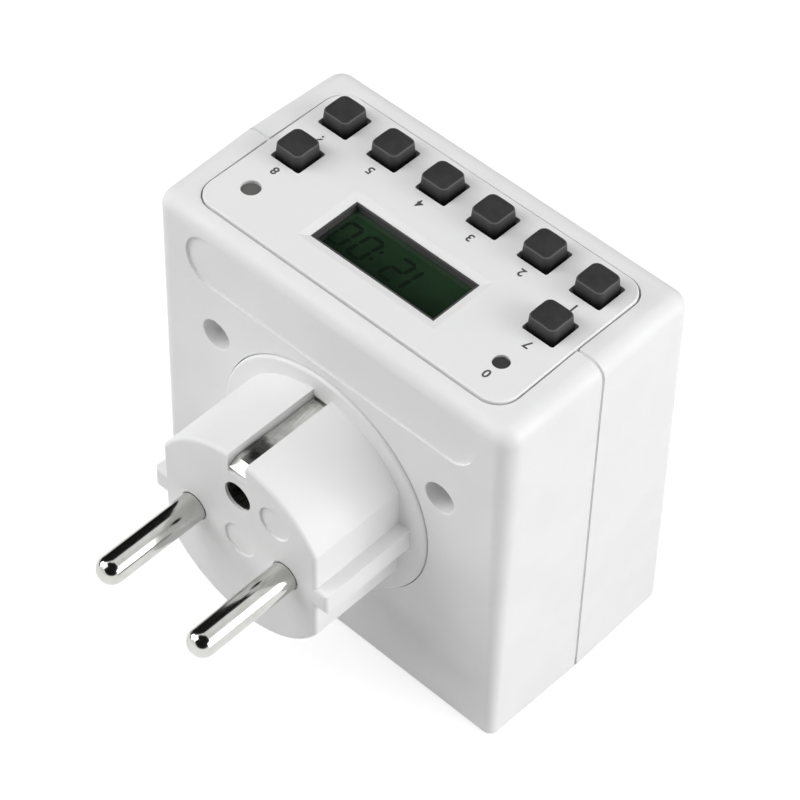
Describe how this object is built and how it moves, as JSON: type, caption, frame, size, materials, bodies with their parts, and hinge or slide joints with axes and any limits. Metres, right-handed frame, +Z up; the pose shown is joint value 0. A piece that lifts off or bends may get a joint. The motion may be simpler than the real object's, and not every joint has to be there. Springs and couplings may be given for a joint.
{
  "type": "plug-in timer switch",
  "caption": "Cube-shaped digital weekly timer: a round mains plug on the wall side, an earthed outlet on the user's side, keys and a display on top.",
  "frame": {"origin": "centre of the plug's engagement face, midway between the roots of the two pins", "axes": "+Y along the pins into the wall, +Z up towards the control panel, +X to the right as the user sees it"},
  "size_m": [0.0712, 0.0768, 0.0727],
  "materials": {
    "white_plastic": "fine satin",
    "inner_white_plastic": "plain moulded",
    "key_rubber": "fine matte",
    "mat_rubber": "matte",
    "zebra_rubber": "matte",
    "nickel": "polished nickel plate",
    "brass": "rolled strip",
    "steel": "zinc plated",
    "dark_frame": "matte",
    "display": "satin polariser over a dark green display",
    "lamp": "frosted",
    "board": "solder resist",
    "black_epoxy": "cast",
    "relay_case": "moulded",
    "capacitor_case": "moulded",
    "capacitor_sleeve": "shrunk sleeve",
    "resistor_coat": "ceramic coat",
    "diode_glass": "glass bead",
    "ribbon_jacket": "soft",
    "brown_jacket": "soft",
    "blue_jacket": "soft"
  },
  "bodies": {
    "case": {"rear_housing": "white_plastic", "front_housing": "white_plastic", "plug_insert": "white_plastic", "control_panel": "white_plastic", "contact_block": "inner_white_plastic", "keypad_mat": "mat_rubber", "zebra_strip_front": "zebra_rubber", "zebra_strip_rear": "zebra_rubber", "plug_pin_left": "nickel", "plug_pin_right": "nickel", "earth_bracket": "nickel", "outlet_earth_pin": "nickel", "earth_socket": "brass", "earth_strap": "brass", "outlet_contact_left": "brass", "outlet_contact_right": "brass", "housing_screws": "steel", "control_pcb_screws": "steel", "power_pcb_screws": "steel", "shutter_spring": "steel", "clock_crystal": "steel", "backup_battery": "steel", "lcd_frame": "dark_frame", "lcd_glass": "display", "status_led": "lamp", "control_pcb": "board", "power_pcb": "board", "controller_chip": "black_epoxy", "bridge_rectifier": "black_epoxy", "relay_transistor": "black_epoxy", "relay": "relay_case", "x2_capacitor": "capacitor_case", "electrolytic_capacitor": "capacitor_sleeve", "dropper_resistor": "resistor_coat", "fuse_resistor": "resistor_coat", "zener_diode": "diode_glass", "ribbon_cable": "ribbon_jacket", "live_wire_in": "brown_jacket", "live_wire_out": "brown_jacket", "neutral_link": "blue_jacket", "neutral_supply_wire": "blue_jacket"},
    "key_minute": {"key_minute": "key_rubber"},
    "key_hour": {"key_hour": "key_rubber"},
    "key_week": {"key_week": "key_rubber"},
    "key_mode": {"key_mode": "key_rubber"},
    "key_timer": {"key_timer": "key_rubber"},
    "key_clock": {"key_clock": "key_rubber"},
    "key_recall": {"key_recall": "key_rubber"},
    "key_random": {"key_random": "key_rubber"},
    "reset_button": {"reset_button": "key_rubber"},
    "shutter": {"shutter": "inner_white_plastic"}
  },
  "joints": [
    {"name": "key_minute_press", "type": "slide", "parent": "case", "child": "key_minute", "axis": [0, 0, -1], "range_m": [0, 0.001], "stiffness_N_per_m": 600, "springref_m": -0.0003},
    {"name": "key_hour_press", "type": "slide", "parent": "case", "child": "key_hour", "axis": [0, 0, -1], "range_m": [0, 0.001], "stiffness_N_per_m": 600, "springref_m": -0.0003},
    {"name": "key_week_press", "type": "slide", "parent": "case", "child": "key_week", "axis": [0, 0, -1], "range_m": [0, 0.001], "stiffness_N_per_m": 600, "springref_m": -0.0003},
    {"name": "key_mode_press", "type": "slide", "parent": "case", "child": "key_mode", "axis": [0, 0, -1], "range_m": [0, 0.001], "stiffness_N_per_m": 600, "springref_m": -0.0003},
    {"name": "key_timer_press", "type": "slide", "parent": "case", "child": "key_timer", "axis": [0, 0, -1], "range_m": [0, 0.001], "stiffness_N_per_m": 600, "springref_m": -0.0003},
    {"name": "key_clock_press", "type": "slide", "parent": "case", "child": "key_clock", "axis": [0, 0, -1], "range_m": [0, 0.001], "stiffness_N_per_m": 600, "springref_m": -0.0003},
    {"name": "key_recall_press", "type": "slide", "parent": "case", "child": "key_recall", "axis": [0, 0, -1], "range_m": [0, 0.001], "stiffness_N_per_m": 600, "springref_m": -0.0003},
    {"name": "key_random_press", "type": "slide", "parent": "case", "child": "key_random", "axis": [0, 0, -1], "range_m": [0, 0.001], "stiffness_N_per_m": 600, "springref_m": -0.0003},
    {"name": "reset_button_press", "type": "slide", "parent": "case", "child": "reset_button", "axis": [0, 0, -1], "range_m": [0, 0.0008], "stiffness_N_per_m": 600, "springref_m": -0.0003},
    {"name": "shutter_slide", "type": "slide", "parent": "case", "child": "shutter", "axis": [0, 0, -1], "range_m": [0, 0.006], "stiffness_N_per_m": 60, "springref_m": -0.003, "deforming": ["shutter_spring"]}
  ]
}
